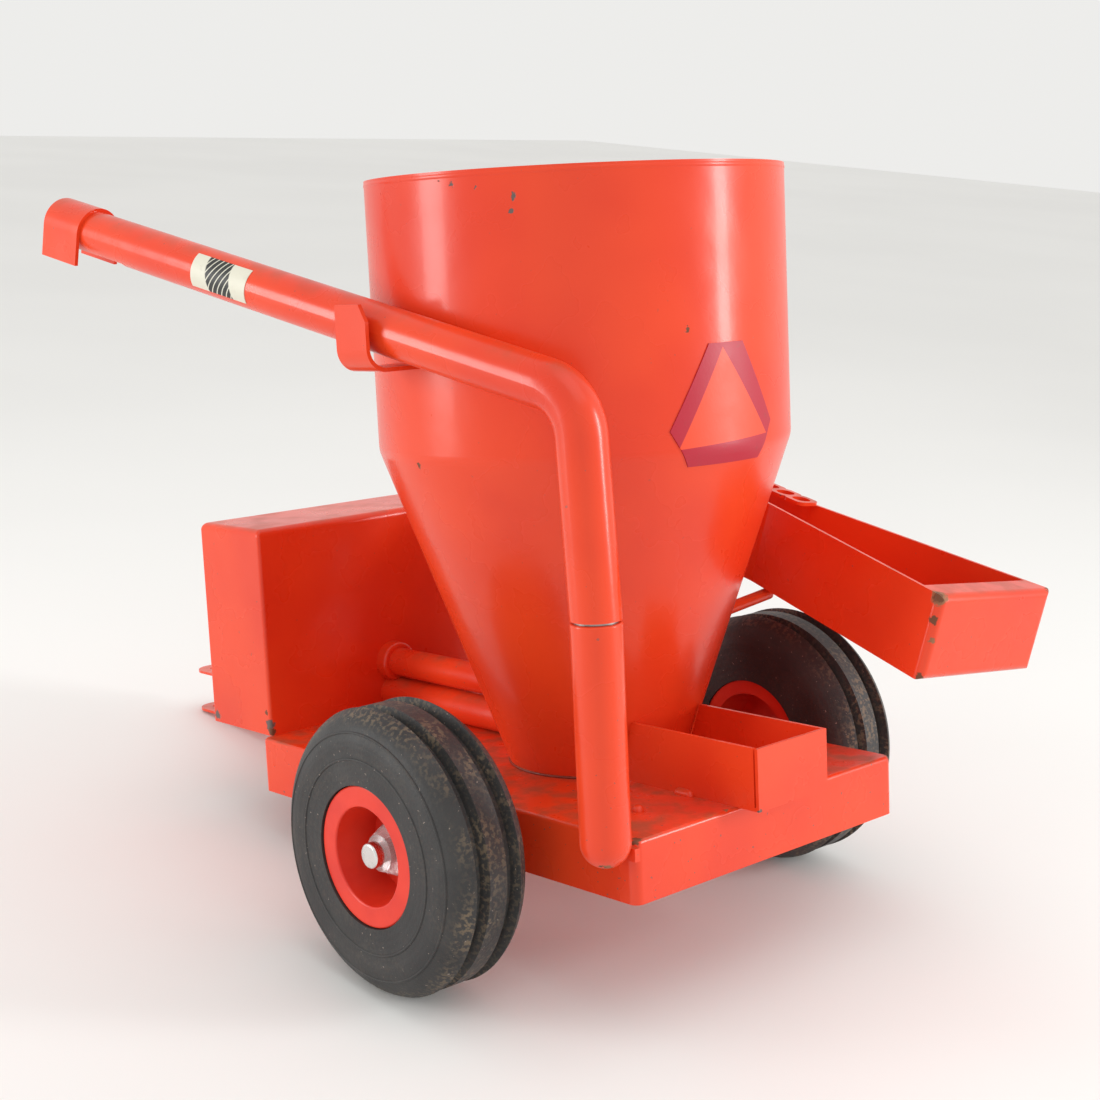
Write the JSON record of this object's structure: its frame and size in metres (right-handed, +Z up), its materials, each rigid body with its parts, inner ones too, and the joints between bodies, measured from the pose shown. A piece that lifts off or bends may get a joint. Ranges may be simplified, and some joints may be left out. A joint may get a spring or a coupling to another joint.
{
  "type": "toy feed grinder-mixer",
  "caption": "Pressed-steel toy feed grinder-mixer: cone-bottomed open tank on a two-wheeled deck with a swinging unloading auger, a folding feeder trough and a hitch.",
  "frame": {"origin": "centre of the hitch pin hole, midway between the two drawbar plates", "axes": "+X runs forward past the hitch, +Y to the machine's left, +Z up with the deck level"},
  "size_m": [0.2723, 0.1631, 0.1923],
  "materials": {
    "red_paint": "gloss enamel over pressed steel, a few chips",
    "red_plastic": "moulded, semi-gloss",
    "tyre_rubber": "matt, dusty tread",
    "bright_steel": "plain steel",
    "bright_cap": "bright plated",
    "clear_plastic": "clear moulding",
    "emblem_sticker": "vinyl sticker, red border with an orange triangle",
    "arm_sticker": "paper sticker, cream ends with a dark striped centre"
  },
  "bodies": {
    "chassis": {"auger_cradle": "red_paint", "auger_post": "red_paint", "axle": "bright_steel", "axle_cap_left": "bright_cap", "axle_cap_right": "bright_cap", "axle_spacer_left": "bright_steel", "axle_spacer_right": "bright_steel", "clip_rivets": "bright_steel", "deck_pan": "red_paint", "drawbar_lower_plate": "red_paint", "drawbar_rivets": "bright_steel", "drawbar_spacers": "bright_steel", "drawbar_upper_plate": "red_paint", "drive_housing": "red_paint", "feeder_bracket": "red_paint", "feeder_pivot_rivet": "bright_steel", "feeder_support_rod": "red_paint", "housing_clips": "red_paint", "hub_retainer_left": "clear_plastic", "hub_retainer_right": "clear_plastic", "mill_housing": "red_paint", "mill_rivets": "bright_steel", "mixing_tank": "red_paint", "post_weld": "red_paint", "rear_emblem": "emblem_sticker", "supplement_bin": "red_paint", "tank_rivet": "bright_steel", "transfer_tube_lower": "red_paint", "transfer_tube_upper": "red_paint", "tube_collar": "red_paint", "weld_beads": "red_paint"},
    "wheel_left": {"wheel_rim_left": "red_plastic", "tyre_left": "tyre_rubber"},
    "wheel_right": {"wheel_rim_right": "red_plastic", "tyre_right": "tyre_rubber"},
    "swivel_pin": {"auger_swivel_pin": "bright_steel"},
    "auger_boom": {"auger_arm": "red_paint", "spout_hood": "red_paint", "auger_decal": "arm_sticker"},
    "feeder": {"feeder_trough": "red_paint", "feeder_chain": "red_plastic"}
  },
  "joints": [
    {"name": "wheel_left_spin", "type": "hinge", "parent": "chassis", "child": "wheel_left", "pos_m": [-0.18625, 0.0668, 0.0006], "axis": [0, 1, 0], "continuous": true},
    {"name": "wheel_right_spin", "type": "hinge", "parent": "chassis", "child": "wheel_right", "pos_m": [-0.18625, -0.0668, 0.0006], "axis": [0, 1, 0], "continuous": true},
    {"name": "auger_lift", "type": "slide", "parent": "chassis", "child": "swivel_pin", "axis": [0, 0, 1], "range_m": [0, 0.014]},
    {"name": "auger_swing", "type": "hinge", "parent": "swivel_pin", "child": "auger_boom", "pos_m": [-0.24, 0.0518, 0.0582], "axis": [0, 0, 1], "range_deg": [0, 240]},
    {"name": "feeder_swing", "type": "hinge", "parent": "chassis", "child": "feeder", "pos_m": [-0.16398, -0.06248, 0.05283], "axis": [-0.2445, -0.1092, 0.9635], "range_deg": [0, 90]}
  ]
}
